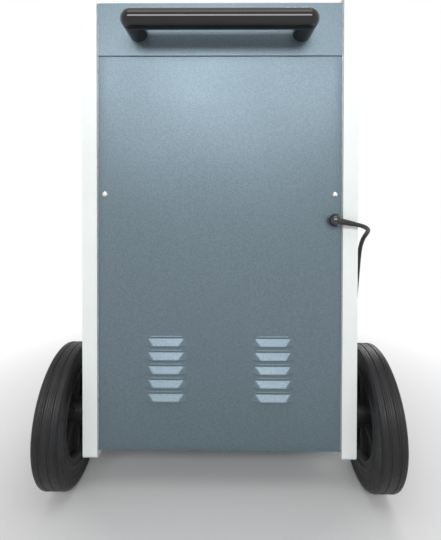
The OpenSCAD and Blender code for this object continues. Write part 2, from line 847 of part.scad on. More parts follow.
module mains_coil() {
    lead_in = coil_line[0] + [0, cord_d, 0];
    lead_out = coil_line[len(coil_line) - 1] - [0, cord_d, 0];
    color(black) sweep(concat([lead_in], coil_line, [lead_out]), cord_d / 2, 6);
}

// A strap round the coil's turns
module cord_tie() {
    wall = 0.8;
    w = 8;
    in = coil_r - coil_turns / 2 * coil_pitch - cord_d / 2 + 0.2;
    out = coil_r + cord_d / 2 - 0.2;
    top = coil_z + coil_rise + cord_d / 2 + 0.3;
    color(rubber) translate([coil_at[0], coil_at[1] - w / 2, 0]) difference() {
        translate([in, 0, 0]) cube([out - in, w, top + wall]);
        translate([in + wall, -1, wall]) cube([out - in - 2 * wall, w + 2, top - wall]);
    }
}

module mains_plug() {
    y = coil_at[1] - cord_d;
    tail = 33.6;
    body = 32;
    pin_l = 19;
    color(black) translate([coil_at[0] - coil_r, y, plug_z]) rotate([90, 0, 0]) union() {
        rotate_extrude($fn = 96) polygon([[0, 0], [4.4, 0], [6.5, tail - 2], [11, tail], [17, tail + 8],
            [18.5, tail + 12], [18.5, tail + body - 1], [17.5, tail + body], [0, tail + body]]);
        for (x = [-9.5, 9.5]) translate([x, 0, tail + body]) cylinder(h = pin_l, r = 2.4, $fn = 48);
    }
}

// ---- Controls ----

meter_rim = 8;
meter_pivot = [0, -22];
needle_turn = 45;
needle_z = 3;
window_t = 1.5;
neck_h = 3;
neck_t = 2;
shaft_in = 15;
knob_z = 4;
reset_neck_d = reset_d + 4;
reset_collar_h = 4;
fuse_pitch = 62;
fuse_bolt_d = 6;
fuse_bolt_in = 8;
fuse_bolt_out = 10;
fuse_base_t = 4;
fuse_link_t = 1.2;
fuse_pad = [20, 16];
rocker_rim = 4;
rocker_in = 22;
rocker_pivot = -3;
rocker_room = 0.3;
rocker_pin_r = 1.5;
stud_x = [-stud_pitch, 0, stud_pitch];
stud_z = knee_h - stud_drop;
stud_nut_h = 6;
collar_neck_d = stud_d + 8;

module round_box(w, h, z0, t, r) {
    translate([0, 0, z0]) linear_extrude(t) {
        square([w - 2 * r, h], center = true);
        square([w, h - 2 * r], center = true);
        for (x = [-1, 1], y = [-1, 1]) translate([x * (w / 2 - r), y * (h / 2 - r)]) circle(r, $fn = 32);
    }
}

module ammeter_case() {
    w = meter_w - meter_rim;
    h = meter_h - meter_rim;
    color(black) on_slope(meter_at) {
        difference() {
            union() {
                round_box(meter_w, meter_h, 0, meter_out, 4);
                translate([-w / 2 + 0.5, -h / 2 + 0.5, -meter_in]) cube([w - 1, h - 1, meter_in]);
            }
            translate([-w / 2, -h / 2, meter_out - window_t - 0.5]) cube([w, h, window_t + 2]);
            translate([-w / 2 + 3, -h / 2 + 3, 1]) cube([w - 6, h - 6, meter_out]);
        }
        translate([meter_pivot[0], meter_pivot[1], 1]) cylinder(h = 4, r = 1, $fn = 32);
    }
}

module ammeter_dial() {
    w = meter_w - meter_rim - 7;
    h = meter_h - meter_rim - 7;
    color("white") on_slope(meter_at) difference() {
        translate([-w / 2, -h / 2, 1]) cube([w, h, 0.8]);
        translate([meter_pivot[0], meter_pivot[1], 0]) cylinder(h = 4, r = 1.5, $fn = 32);
    }
}

module ammeter_needle() {
    color("red") on_slope(meter_at + meter_pivot) difference() {
        union() {
            translate([0, 0, needle_z - 0.6]) cylinder(h = 1.8, r = 3.2, $fn = 48);
            rotate([0, 0, 90 + needle_turn]) translate([0, 0, needle_z]) linear_extrude(0.6)
                polygon([[-8, -1.2], [-8, 1.2], [needle_l, 0.3], [needle_l, -0.3]]);
        }
        translate([0, 0, needle_z - 1]) cylinder(h = 3, r = 1 + run_gap, $fn = 32);
    }
}

module ammeter_window() {
    w = meter_w - meter_rim - 0.2;
    h = meter_h - meter_rim - 0.2;
    color([0.8, 0.9, 0.95, 0.4]) on_slope(meter_at)
        translate([-w / 2, -h / 2, meter_out - window_t - 0.5]) cube([w, h, window_t]);
}

// A switch or timer body behind the panel, with a neck that the knob's shaft runs in
module turning_body(at) {
    w = switch_w;
    color(black) on_slope(at) difference() {
        union() {
            translate([-w / 2, -w / 2, -cover_t - switch_d]) cube([w, w, switch_d]);
            translate([0, 0, -cover_t]) cylinder(h = cover_t + neck_h, r = shaft_d / 2 + neck_t, $fn = 64);
        }
        translate([0, 0, -shaft_in - 1]) cylinder(h = 2 * shaft_in, r = shaft_d / 2 + run_gap, $fn = 64);
    }
}

// A knob with a skirt, a bar grip with a pointer groove, and its shaft
module knob(at) {
    skirt = 4;
    bar = 9;
    core_r = knob_d / 2 - 6;
    color(black) on_slope(at) difference() {
        union() {
            translate([0, 0, -shaft_in]) cylinder(h = shaft_in + knob_z + 1, r = shaft_d / 2, $fn = 64);
            translate([0, 0, knob_z]) cylinder(h = skirt, r = knob_d / 2, $fn = 96);
            translate([0, 0, knob_z + skirt]) cylinder(h = knob_h - skirt - 3, r = core_r, $fn = 96);
            intersection() {
                translate([-bar / 2, -knob_d / 2, knob_z + skirt]) cube([bar, knob_d, knob_h - skirt]);
                cylinder(h = 2 * knob_h, r = knob_d / 2 - 1, $fn = 96);
            }
        }
        translate([-0.8, 2, knob_z + knob_h - 1]) cube([1.6, knob_d, 2]);
    }
}

module selector_switch() { turning_body(selector_at); }
module selector_knob() { knob(selector_at); }
module timer_body() { turning_body(timer_at); }
module timer_knob() { knob(timer_at); }

module rocker_frame() {
    w = rocker_w - 7;
    h = 2 * (rocker_r + rocker_room);
    back_w = rocker_w - rocker_rim - 0.4;
    back_h = rocker_h - rocker_rim - 0.4;
    color(black) on_slope(rocker_at) difference() {
        union() {
            round_box(rocker_w, rocker_h, 0, 2.5, 2);
            translate([-back_w / 2, -back_h / 2, -rocker_in]) cube([back_w, back_h, rocker_in]);
        }
        translate([-w / 2, -h / 2, rocker_pivot - rocker_r - 1]) cube([w, h, rocker_in + 8]);
        translate([0, 0, rocker_pivot]) rod_x(-w / 2 - 1.4, w + 2.8, rocker_pin_r + run_gap);
    }
}

// A rocker with two flat faces that meet in a shallow valley over its pivot
module mains_rocker() {
    w = rocker_w - 7 - 2 * rocker_room;
    r = rocker_r;
    low = 5.5;
    color("red") on_slope(rocker_at) translate([0, 0, rocker_pivot]) rotate([-rocker_a, 0, 0]) {
        intersection() {
            rod_x(-w / 2, w, r);
            rotate([90, 0, 90]) linear_extrude(w + 2, center = true) polygon([[-r, -r], [r, -r],
                [r, low + r * tan(rocker_a)], [0, low], [-r, low + r * tan(rocker_a)]]);
        }
        rod_x(-w / 2 - 1.2, w + 2.4, rocker_pin_r);
    }
}

module breaker_body() {
    color(black) on_slope(reset_at) difference() {
        union() {
            translate([-12, -15, -cover_t - 34]) cube([24, 30, 34]);
            translate([0, 0, -cover_t]) cylinder(h = cover_t + 1, r = reset_neck_d / 2, $fn = 64);
            cylinder(h = reset_collar_h, r = reset_neck_d / 2 + 2, $fn = 64);
        }
        translate([0, 0, -8]) cylinder(h = 20, r = reset_d / 2 + run_gap, $fn = 64);
    }
}

module reset_button() {
    h = reset_collar_h + reset_out;
    color("red") on_slope(reset_at) {
        translate([0, 0, -4]) cylinder(h = h + 3, r = reset_d / 2, $fn = 64);
        translate([0, 0, h - 1]) cylinder(h = 1, r1 = reset_d / 2, r2 = reset_d / 2 - 1, $fn = 64);
    }
}

module pilot_lamps() {
    r = lamp_d / 2;
    color("lime") for (i = [0 : lamp_n - 1]) on_slope(lamp_at - [0, i * lamp_step]) {
        translate([0, 0, -12]) cylinder(h = 12, r = r, $fn = 48);
        cylinder(h = 1.5, r = r + 1.5, $fn = 48);
        intersection() {
            translate([0, 0, 1.5]) cylinder(h = r, r = r, $fn = 48);
            translate([0, 0, 1.5]) sphere(r, $fn = 48);
        }
    }
}

module fuse_base() {
    color(black) on_slope(fuse_at) {
        round_box(fuse_w, fuse_h, 0, fuse_base_t, 4);
        for (x = [-1, 1]) translate([x * fuse_pitch / 2, 0, -fuse_bolt_in])
            cylinder(h = fuse_bolt_in + fuse_bolt_out, r = fuse_bolt_d / 2, $fn = 48);
    }
}

// A strip fuse with a narrow middle, clamped on the base's two studs
module fuse_link() {
    color("silver") on_slope(fuse_at) {
        translate([0, 0, fuse_base_t]) linear_extrude(fuse_link_t) difference() {
            union() {
                for (x = [-1, 1]) translate([x * fuse_pitch / 2, 0]) square(fuse_pad, center = true);
                square([fuse_pitch, 7], center = true);
            }
            for (x = [-1, 1]) translate([x * fuse_pitch / 2, 0])
                circle(fuse_bolt_d / 2 + screw_gap, $fn = 48);
        }
        for (x = [-1, 1]) translate([x * fuse_pitch / 2, 0, fuse_base_t + fuse_link_t]) difference() {
            cylinder(h = 4, r = fuse_bolt_d * 0.85, $fn = 6);
            translate([0, 0, -1]) cylinder(h = 6, r = fuse_bolt_d / 2 + screw_gap, $fn = 48);
        }
    }
}

module fuse_cover() {
    wall = 2;
    color([0.8, 0.9, 0.95, 0.4]) on_slope(fuse_at) difference() {
        round_box(fuse_w - 2, fuse_h - 2, fuse_base_t, fuse_out - fuse_base_t, 4);
        round_box(fuse_w - 2 - 2 * wall, fuse_h - 2 - 2 * wall, 0, fuse_out - wall, 3);
    }
}

module at_studs() {
    for (x = stud_x) on_front(x, floor_gap + stud_z) children();
}

module terminal_collars() {
    color("red") at_studs() difference() {
        union() {
            cylinder(h = collar_h, r = collar_neck_d / 2 + 6, $fn = 64);
            translate([0, 0, -cover_t - stud_nut_h])
                cylinder(h = cover_t + stud_nut_h, r = collar_neck_d / 2, $fn = 64);
        }
        translate([0, 0, -stud_in]) cylinder(h = stud_in + stud_out, r = stud_d / 2 + screw_gap, $fn = 64);
    }
}

module terminal_studs() {
    color("gold") at_studs() {
        translate([0, 0, -stud_in]) cylinder(h = stud_in + collar_h + stud_knob_h, r = stud_d / 2, $fn = 64);
        cylinder(h = stud_out, r = stud_tip_d / 2, $fn = 64);
        translate([0, 0, -cover_t - 2 * stud_nut_h]) cylinder(h = stud_nut_h, r = stud_d * 0.85, $fn = 6);
    }
}

module terminal_knobs() {
    color(black) at_studs() difference() {
        translate([0, 0, collar_h]) cylinder(h = stud_knob_h, r = stud_knob_d / 2, $fn = 12);
        translate([0, 0, collar_h - 1]) cylinder(h = stud_knob_h + 2, r = stud_d / 2 + screw_gap, $fn = 64);
    }
}

// ---- Transformer and rectifier ----

core_z = tray_z + tray_t + core_lift;

module at_core() { translate([0, back_y - core_in, core_z]) children(); }

module transformer_core() {
    color(steel) at_core() difference() {
        translate([-core_w / 2, -core_t / 2, 0]) cube([core_w, core_t, core_h]);
        for (x = [limb_w - core_w / 2, limb_w]) translate([x, -core_t, limb_w])
            cube([core_w / 2 - 2 * limb_w, 2 * core_t, core_h - 2 * limb_w]);
    }
}

// The primary below and the secondary above it, round the middle limb
module transformer_windings() {
    in_x = limb_w + 0.4;
    in_y = core_t / 2 + 0.4;
    h = (core_h - 2 * limb_w - 3) / 2;
    x = core_w / 2 - limb_w - 1;
    y = core_t / 2 + winding_out;
    for (i = [0, 1]) color(i == 0 ? "sienna" : "peru") at_core()
        translate([0, 0, limb_w + i * (h + 2)]) difference() {
            translate([-x, -y, 0]) cube([2 * x, 2 * y, h]);
            translate([-in_x, -in_y, -1]) cube([2 * in_x, 2 * in_y, h + 2]);
        }
}

// Two angles that carry the core on the tray
module transformer_clamps() {
    t = 3;
    foot = 18;
    rail = 10;
    y = core_t / 2;
    color(steel) for (side = [0, 1]) translate([0, back_y - core_in, tray_z + tray_t]) mirror([0, side, 0]) {
        translate([-core_w / 2, y, 0]) cube([core_w, t, core_lift + limb_w - 2]);
        translate([-core_w / 2, y + t, 0]) cube([core_w, foot, t]);
        translate([-core_w / 2, y - rail, 0]) cube([core_w, rail, core_lift]);
    }
}

module at_sink(y) { translate([sink_x, back_y - sink_in - y, tray_z + tray_t]) children(); }

module rectifier_heatsink() {
    fin_pitch = (sink_l - fin_t) / (fin_n - 1);
    color("silver") at_sink(sink_l) {
        cube([sink_t, sink_l, sink_h]);
        for (i = [0 : fin_n - 1]) translate([sink_t, i * fin_pitch, 0]) cube([fin_d, fin_t, sink_h]);
    }
}

// A row of press-fit diodes on the plate's bare face, each with a hexagon foot and a lead
module rectifier_diodes() {
    foot = diode_h / 3;
    color("gold") for (i = [0 : diode_n - 1]) at_sink((i + 0.5) * sink_l / diode_n)
        translate([0, 0, sink_h * 0.6]) rotate([0, -90, 0]) {
            cylinder(h = foot, r = diode_d * 0.65, $fn = 6);
            cylinder(h = diode_h, r = diode_d / 2, $fn = 48);
            translate([0, 0, diode_h]) cylinder(h = diode_h * 0.6, r = diode_d / 8, $fn = 24);
        }
}

side_panel_left();
side_panel_right();
side_frame_left();
side_frame_right();
rear_panel();
top_cover();
control_panel();
front_panel();
base_tray();
front_stand();
foot_pads();
axle();
axle_bracket_left();
axle_bracket_right();
wheel_rim_left();
wheel_rim_right();
tyre_left();
tyre_right();
wheel_bush_left();
wheel_bush_right();
axle_washers();
axle_cap_left();
axle_cap_right();
handle_bar();
handle_elbow_left();
handle_elbow_right();
handle_bolts();
rear_screws();
front_screws();
cable_gland();
gland_nut();
strain_relief();
mains_cord();
mains_coil();
cord_tie();
mains_plug();
ammeter_case();
ammeter_dial();
ammeter_needle();
ammeter_window();
selector_switch();
selector_knob();
timer_body();
timer_knob();
rocker_frame();
mains_rocker();
breaker_body();
reset_button();
pilot_lamps();
fuse_base();
fuse_link();
fuse_cover();
terminal_collars();
terminal_studs();
terminal_knobs();
transformer_core();
transformer_windings();
transformer_clamps();
rectifier_heatsink();
rectifier_diodes();
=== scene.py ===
import json
import math
import bmesh
import bpy
from mathutils import Matrix, Vector


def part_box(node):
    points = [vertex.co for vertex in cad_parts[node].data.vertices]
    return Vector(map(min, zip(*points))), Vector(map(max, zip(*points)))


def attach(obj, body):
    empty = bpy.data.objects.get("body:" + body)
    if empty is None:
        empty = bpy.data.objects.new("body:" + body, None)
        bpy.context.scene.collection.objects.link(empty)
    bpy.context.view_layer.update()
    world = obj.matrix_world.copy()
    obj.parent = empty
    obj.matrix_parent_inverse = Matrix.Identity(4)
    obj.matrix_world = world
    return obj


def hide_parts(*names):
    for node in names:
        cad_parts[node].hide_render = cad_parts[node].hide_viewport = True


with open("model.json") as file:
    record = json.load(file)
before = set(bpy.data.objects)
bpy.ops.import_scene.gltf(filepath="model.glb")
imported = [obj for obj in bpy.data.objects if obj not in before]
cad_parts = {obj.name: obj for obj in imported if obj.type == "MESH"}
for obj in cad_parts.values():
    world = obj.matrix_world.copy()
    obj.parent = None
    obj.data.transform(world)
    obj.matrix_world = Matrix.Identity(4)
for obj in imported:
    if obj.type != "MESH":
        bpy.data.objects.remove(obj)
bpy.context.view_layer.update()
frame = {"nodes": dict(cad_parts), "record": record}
nodes = frame["nodes"]
scene = bpy.context.scene
print("frame loaded")

sideLow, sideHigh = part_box("side_panel_right")
backY = sideHigh[1]  # the plane of the side panels' rear edges
caseBottom = sideLow[2]


viewpoint = {
    "away": 0.5472,  # from the side panels' rear edges
    "across": -0.0058,
    "height": 0.3889,  # over the side panels' lower edge
    "yaw": -0.0085,  # the three small angles are in radians
    "pitch": 0.0117,
    "roll": 0.002,
    "focalPixels": 385.6,
    "horizonLift": 76.7,
    "imageHeight": 540,
    "sensorWidth": 36,
    "nearest": 0.01,
    "farthest": 60,
}


def makeCamera(v):
    cam = bpy.data.objects.new("camera", bpy.data.cameras.new("camera"))
    scene.collection.objects.link(cam)
    sy, cy = math.sin(v["yaw"]), math.cos(v["yaw"])
    sp, cp = math.sin(v["pitch"]), math.cos(v["pitch"])
    forward = Vector((-sy * cp, -cy * cp, -sp))
    right = Vector((-cy, sy, 0))
    up = right.cross(forward)
    sr, cr = math.sin(v["roll"]), math.cos(v["roll"])
    right, up = cr * right + sr * up, cr * up - sr * right
    turn = Matrix((right, up, -forward)).transposed().to_4x4()
    place = (v["across"], backY + v["away"], caseBottom + v["height"])
    cam.matrix_world = Matrix.Translation(place) @ turn
    cam.data.sensor_width = v["sensorWidth"]
    cam.data.lens = v["sensorWidth"] * v["focalPixels"] / v["imageHeight"]
    cam.data.shift_y = -v["horizonLift"] / v["imageHeight"]
    cam.data.clip_start, cam.data.clip_end = v["nearest"], v["farthest"]
    scene.camera = cam


makeCamera(viewpoint)
print("camera placed")


lead = {
    "diameter": 0.0062,
    "sides": 5,
    "route": [  # in millimetres, from the gland down to the coil
        (-187.1, 165, 395.2), (-197.5, 163.5, 392.8), (-206.5, 158, 389.3), (-212.5, 149.5, 384.8),
        (-214.5, 138, 378.8), (-215, 124, 370), (-216, 110, 356.5), (-218, 98, 338), (-221, 84, 312),
        (-226, 62, 272), (-232, 38, 228), (-239, 14, 182), (-246, -10, 136), (-252, -34, 90),
        (-256, -53, 55), (-257.5, -67, 31), (-258, -80, 14.5), (-258, -94, 6), (-258, -104, 4.2),
        (-258, -112, 4),
    ],
    "stepsBetween": 6,
    "turns": 6,
    "coilRadius": 0.0465,
    "coilPitch": 0.0069,
    "layerRise": 0.0071,
    "coilHeight": 0.004,
    "plugHeight": 0.0186,
    "stepsPerTurn": 40,
}


def smoothCurve(points, steps):
    line = []
    ends = [2 * points[0] - points[1], *points, 2 * points[-1] - points[-2]]
    for a, b, c, d in zip(ends, ends[1:], ends[2:], ends[3:]):
        for k in range(steps):
            t = k / steps
            line.append(0.5 * (2 * b + (c - a) * t + (2 * a - 5 * b + 4 * c - d) * t ** 2
                               + (3 * b - 3 * c + d - a) * t ** 3))
    return line + [points[-1]]


def smoothBetween(a, b, x):
    t = min(max((x - a) / (b - a), 0), 1)
    return t * t * (3 - 2 * t)


def leadLine(v):
    line = smoothCurve([Vector(p) / 1000 for p in v["route"]], v["stepsBetween"])
    turns, d = v["turns"], v["diameter"]
    centre = line[-1] + Vector((v["coilRadius"], -d, 0))
    for i in range(turns * v["stepsPerTurn"] + 1):
        t = i / v["stepsPerTurn"]
        r = v["coilRadius"] - v["coilPitch"] * min(t, turns - t)
        toSecondLayer = smoothBetween(0, 1, (t - turns / 2) * 2 + 0.5)
        toPlug = smoothBetween(0, 1, (t - turns) * 2 + 1)
        climb = v["layerRise"] * toSecondLayer
        climb += (v["plugHeight"] - v["coilHeight"] - v["layerRise"]) * toPlug
        a = math.pi + 2 * math.pi * t
        x, y = centre.x + r * math.cos(a), centre.y + r * math.sin(a)
        line.append(Vector((x, y, v["coilHeight"] + climb)))
    line.append(line[-1] + Vector((0, -d, 0)))
    return line


def roundLead(name, line, diameter, sides, mat):
    data = bpy.data.curves.new(name, "CURVE")
    data.dimensions = "3D"
    data.bevel_depth = diameter / 2
    data.bevel_resolution = sides
    data.use_fill_caps = True
    spline = data.splines.new("POLY")
    spline.points.add(len(line) - 1)
    for point, at in zip(spline.points, line):
        point.co = (*at, 1)
    spline.use_smooth = True
    data.materials.append(mat)
    obj = bpy.data.objects.new(name, data)
    scene.collection.objects.link(obj)
    return obj


def newFinish(name, colour, roughness, metallic=0.0, coat=0.0, specular=0.5, coatRoughness=0.12):
    mat = bpy.data.materials.new(name)
    mat.use_nodes = True
    shader = mat.node_tree.nodes["Principled BSDF"]
    shader.inputs["Base Color"].default_value = (*colour, 1)
    shader.inputs["Roughness"].default_value = roughness
    shader.inputs["Metallic"].default_value = metallic
    shader.inputs["Coat Weight"].default_value = coat
    shader.inputs["Coat Roughness"].default_value = coatRoughness
    shader.inputs["Specular IOR Level"].default_value = specular
    mat.diffuse_color = (*colour, 1)
    return mat, mat.node_tree, shader


def noiseField(tree, scale, detail=3, stretch=None, kind="noise"):
    coords = tree.nodes.new("ShaderNodeTexCoord")
    source = coords.outputs["Object"]
    if stretch:
        mapping = tree.nodes.new("ShaderNodeMapping")
        mapping.inputs["Scale"].default_value = stretch
        tree.links.new(source, mapping.inputs["Vector"])
        source = mapping.outputs["Vector"]
    if kind == "cells":
        field = tree.nodes.new("ShaderNodeTexVoronoi")
        field.feature = "SMOOTH_F1"
        out = field.outputs["Distance"]
    else:
        field = tree.nodes.new("ShaderNodeTexNoise")
        field.inputs["Detail"].default_value = detail
        out = field.outputs["Fac"]
    field.inputs["Scale"].default_value = scale
    tree.links.new(source, field.inputs["Vector"])
    return out


def between(tree, field, low, high, start=0.3, end=0.7):
    ranged = tree.nodes.new("ShaderNodeMapRange")
    ranged.inputs["From Min"].default_value = start
    ranged.inputs["From Max"].default_value = end
    ranged.inputs["To Min"].default_value = low
    ranged.inputs["To Max"].default_value = high
    tree.links.new(field, ranged.inputs["Value"])
    return ranged.outputs["Result"]


def blendColours(tree, shader, field, dark, light, start=0.3, end=0.7):
    mix = tree.nodes.new("ShaderNodeMix")
    mix.data_type = "RGBA"
    mix.inputs["A"].default_value = (*dark, 1)
    mix.inputs["B"].default_value = (*light, 1)
    tree.links.new(between(tree, field, 0, 1, start, end), mix.inputs["Factor"])
    tree.links.new(mix.outputs["Result"], shader.inputs["Base Color"])


def raised(tree, shader, field, depth, strength=1.0, under=None):
    bump = tree.nodes.new("ShaderNodeBump")
    bump.inputs["Distance"].default_value = depth
    bump.inputs["Strength"].default_value = strength
    tree.links.new(field, bump.inputs["Height"])
    if under:
        tree.links.new(under, bump.inputs["Normal"])
    tree.links.new(bump.outputs["Normal"], shader.inputs["Normal"])
    return bump.outputs["Normal"]


def whiteSidePaint():
    mat, tree, shader = newFinish("whiteSidePaint", (0.82, 0.87, 0.86), 0.36)
    cloud = noiseField(tree, 9, 4)
    blendColours(tree, shader, cloud, (0.80, 0.845, 0.835), (0.86, 0.895, 0.885))
    tree.links.new(between(tree, cloud, 0.3, 0.4), shader.inputs["Roughness"])
    raised(tree, shader, noiseField(tree, 420, 2), 0.0001, 0.35)
    return mat


def hammeredGreyPaint():
    mat, tree, shader = newFinish("hammeredGreyPaint", (0.135, 0.183, 0.214), 0.42, metallic=0.62)
    grain = noiseField(tree, 520, 2)
    blendColours(tree, shader, grain, (0.122, 0.168, 0.197), (0.15, 0.2, 0.234), 0.36, 0.64)
    tree.links.new(between(tree, noiseField(tree, 6, 3), 0.395, 0.45), shader.inputs["Roughness"])
    cells = raised(tree, shader, noiseField(tree, 620, kind="cells"), 0.0002, 0.5)
    raised(tree, shader, grain, 0.00015, 0.5, cells)
    return mat


def polishedBlackTube():
    mat, tree, shader = newFinish("polishedBlackTube", (0.004, 0.005, 0.004), 0.05, specular=0.45)
    smudge = noiseField(tree, 26, 5)
    tree.links.new(between(tree, smudge, 0.04, 0.09), shader.inputs["Roughness"])
    blendColours(tree, shader, smudge, (0.002, 0.003, 0.002), (0.006, 0.007, 0.005))
    return mat


def ribbedTyreRubber():
    mat, tree, shader = newFinish("ribbedTyreRubber", (0.011, 0.011, 0.012), 0.4, specular=0.32)
    streaks = noiseField(tree, 60, 4, (14, 0.8, 0.8))
    dust = noiseField(tree, 160, 5)
    blendColours(tree, shader, streaks, (0.006, 0.006, 0.007), (0.018, 0.018, 0.02), 0.25, 0.75)
    tree.links.new(between(tree, dust, 0.34, 0.5), shader.inputs["Roughness"])
    lines = raised(tree, shader, streaks, 0.0004, 0.5)
    raised(tree, shader, dust, 0.00012, 0.5, lines)
    return mat


def mouldedBlackPlastic():
    mat, tree, shader = newFinish("mouldedBlackPlastic", (0.02, 0.02, 0.022), 0.46)
    cloud = noiseField(tree, 35, 4)
    blendColours(tree, shader, cloud, (0.014, 0.014, 0.016), (0.028, 0.028, 0.03))
    tree.links.new(between(tree, cloud, 0.4, 0.54), shader.inputs["Roughness"])
    raised(tree, shader, noiseField(tree, 1400, 2), 0.00008, 0.5)
    return mat


def glossyGlandPlastic():
    mat, tree, shader = newFinish("glossyGlandPlastic", (0.01, 0.01, 0.012), 0.16, coat=0.6)
    wave = noiseField(tree, 120, 3)
    blendColours(tree, shader, wave, (0.007, 0.007, 0.009), (0.016, 0.016, 0.019))
    tree.links.new(between(tree, wave, 0.12, 0.24), shader.inputs["Roughness"])
    raised(tree, shader, wave, 0.00015, 0.3)
    return mat


def leadRubber():
    mat, tree, shader = newFinish("leadRubber", (0.014, 0.014, 0.015), 0.42)
    cloud = noiseField(tree, 80, 4)
    blendColours(tree, shader, cloud, (0.009, 0.009, 0.01), (0.022, 0.022, 0.024))
    tree.links.new(between(tree, cloud, 0.36, 0.52), shader.inputs["Roughness"])
    raised(tree, shader, noiseField(tree, 900, 2), 0.0001, 0.4)
    return mat


def zincPlate():
    mat, tree, shader = newFinish("zincPlate", (0.56, 0.57, 0.58), 0.34, metallic=1.0)
    spangle = noiseField(tree, 130, kind="cells")
    blendColours(tree, shader, spangle, (0.5, 0.51, 0.53), (0.64, 0.645, 0.64), 0.1, 0.6)
    tree.links.new(between(tree, noiseField(tree, 90, 5), 0.26, 0.45), shader.inputs["Roughness"])
    raised(tree, shader, noiseField(tree, 700, 3), 0.00006, 0.4)
    return mat


def brightScrewHead():
    mat, tree, shader = newFinish("brightScrewHead", (0.78, 0.78, 0.79), 0.18, metallic=1.0)
    rings = noiseField(tree, 600, 3)
    blendColours(tree, shader, rings, (0.68, 0.68, 0.7), (0.84, 0.84, 0.84))
    tree.links.new(between(tree, rings, 0.13, 0.28), shader.inputs["Roughness"])
    return mat


def blackPaint():
    mat, tree, shader = newFinish("blackPaint", (0.022, 0.022, 0.024), 0.38)
    grain = noiseField(tree, 480, 2)
    blendColours(tree, shader, noiseField(tree, 30, 4), (0.016, 0.016, 0.018), (0.03, 0.03, 0.032))
    tree.links.new(between(tree, grain, 0.32, 0.45), shader.inputs["Roughness"])
    raised(tree, shader, grain, 0.0002, 0.4)
    return mat


def redSwitchPlastic():
    mat, tree, shader = newFinish("redSwitchPlastic", (0.52, 0.02, 0.016), 0.28, coat=0.25)
    cloud = noiseField(tree, 60, 3)
    blendColours(tree, shader, cloud, (0.46, 0.016, 0.013), (0.58, 0.026, 0.02))
    tree.links.new(between(tree, cloud, 0.24, 0.36), shader.inputs["Roughness"])
    raised(tree, shader, noiseField(tree, 1100, 2), 0.00006, 0.4)
    return mat


def greenLampLens():
    green = (0.03, 0.5, 0.1)
    mat, tree, shader = newFinish("lampLensGreen", green, 0.12, coat=0.8)
    # painted facet highlights and shade: the cells are coloured darker and lighter green as if each
    # facet of the lens caught the light differently
    paintedFacetLight = noiseField(tree, 900, kind="cells")
    blendColours(tree, shader, paintedFacetLight, (0.01, 0.2, 0.04), green, 0.0, 0.5)
    tree.links.new(between(tree, paintedFacetLight, 0.08, 0.2), shader.inputs["Roughness"])
    # painted glow: a faint green emission makes the lens glow by itself
    shader.inputs["Emission Color"].default_value = (*green, 1)
    shader.inputs["Emission Strength"].default_value = 0.12
    return mat


def dialPaper():
    mat, tree, shader = newFinish("dialPaper", (0.8, 0.8, 0.77), 0.6)
    blendColours(tree, shader, noiseField(tree, 40, 4), (0.77, 0.77, 0.735), (0.83, 0.83, 0.805))
    tree.links.new(between(tree, noiseField(tree, 300, 2), 0.54, 0.66), shader.inputs["Roughness"])
    return mat


def dialInk():
    mat, tree, shader = newFinish("dialInk", (0.012, 0.012, 0.014), 0.5)
    blendColours(tree, shader, noiseField(tree, 400, 2), (0.009, 0.009, 0.011), (0.018, 0.018, 0.02))
    return mat


def panelInk():
    mat, tree, shader = newFinish("panelInk", (0.82, 0.84, 0.84), 0.45)
    blendColours(tree, shader, noiseField(tree, 500, 2), (0.76, 0.78, 0.78), (0.86, 0.875, 0.87))
    return mat


def clearCover():
    mat, tree, shader = newFinish("clearCover", (0.93, 0.96, 0.96), 0.04)
    shader.inputs["Transmission Weight"].default_value = 1.0
    shader.inputs["IOR"].default_value = 1.3
    tree.links.new(between(tree, noiseField(tree, 45, 5), 0.02, 0.09), shader.inputs["Roughness"])
    return mat


def platedBrass():
    mat, tree, shader = newFinish("platedBrass", (0.78, 0.6, 0.28), 0.26, metallic=1.0)
    tarnish = noiseField(tree, 140, 5)
    blendColours(tree, shader, tarnish, (0.62, 0.45, 0.2), (0.84, 0.66, 0.33))
    tree.links.new(between(tree, tarnish, 0.2, 0.42), shader.inputs["Roughness"])
    return mat


def coreLamination():
    mat, tree, shader = newFinish("coreLamination", (0.2, 0.21, 0.23), 0.5, metallic=0.7)
    sheets = noiseField(tree, 3, 2, (1, 600, 1))
    blendColours(tree, shader, sheets, (0.12, 0.125, 0.14), (0.3, 0.31, 0.33), 0.35, 0.65)
    tree.links.new(between(tree, sheets, 0.4, 0.62), shader.inputs["Roughness"])
    raised(tree, shader, sheets, 0.0003, 0.7)
    return mat


def varnishedCopper():
    mat, tree, shader = newFinish("varnishedCopper", (0.5, 0.2, 0.09), 0.32, metallic=0.6, coat=0.4)
    wires = noiseField(tree, 3, 2, (1, 1, 500))
    blendColours(tree, shader, wires, (0.3, 0.11, 0.05), (0.6, 0.27, 0.12), 0.35, 0.65)
    raised(tree, shader, wires, 0.0004, 0.8)
    return mat


def bareAluminium():
    mat, tree, shader = newFinish("bareAluminium", (0.72, 0.73, 0.74), 0.3, metallic=1.0)
    drawn = noiseField(tree, 40, 3, (1, 1, 0.05))
    blendColours(tree, shader, drawn, (0.62, 0.63, 0.65), (0.78, 0.785, 0.79))
    tree.links.new(between(tree, drawn, 0.24, 0.42), shader.inputs["Roughness"])
    return mat


finishOf = {
    "white_paint": whiteSidePaint(),
    "grey_paint": hammeredGreyPaint(),
    "zinc_steel": zincPlate(),
    "black_paint": blackPaint(),
    "rubber": leadRubber(),
    "tyre_rubber": ribbedTyreRubber(),
    "black_plastic": mouldedBlackPlastic(),
    "gloss_black": glossyGlandPlastic(),
    "black_chrome": polishedBlackTube(),
    "bright_metal": brightScrewHead(),
    "red_plastic": redSwitchPlastic(),
    "lamp_lens": greenLampLens(),
    "white_plastic": dialPaper(),
    "clear_plastic": clearCover(),
    "brass": platedBrass(),
    "core_steel": coreLamination(),
    "winding_copper": varnishedCopper(),
    "bare_aluminium": bareAluminium(),
}
print("finishes made")


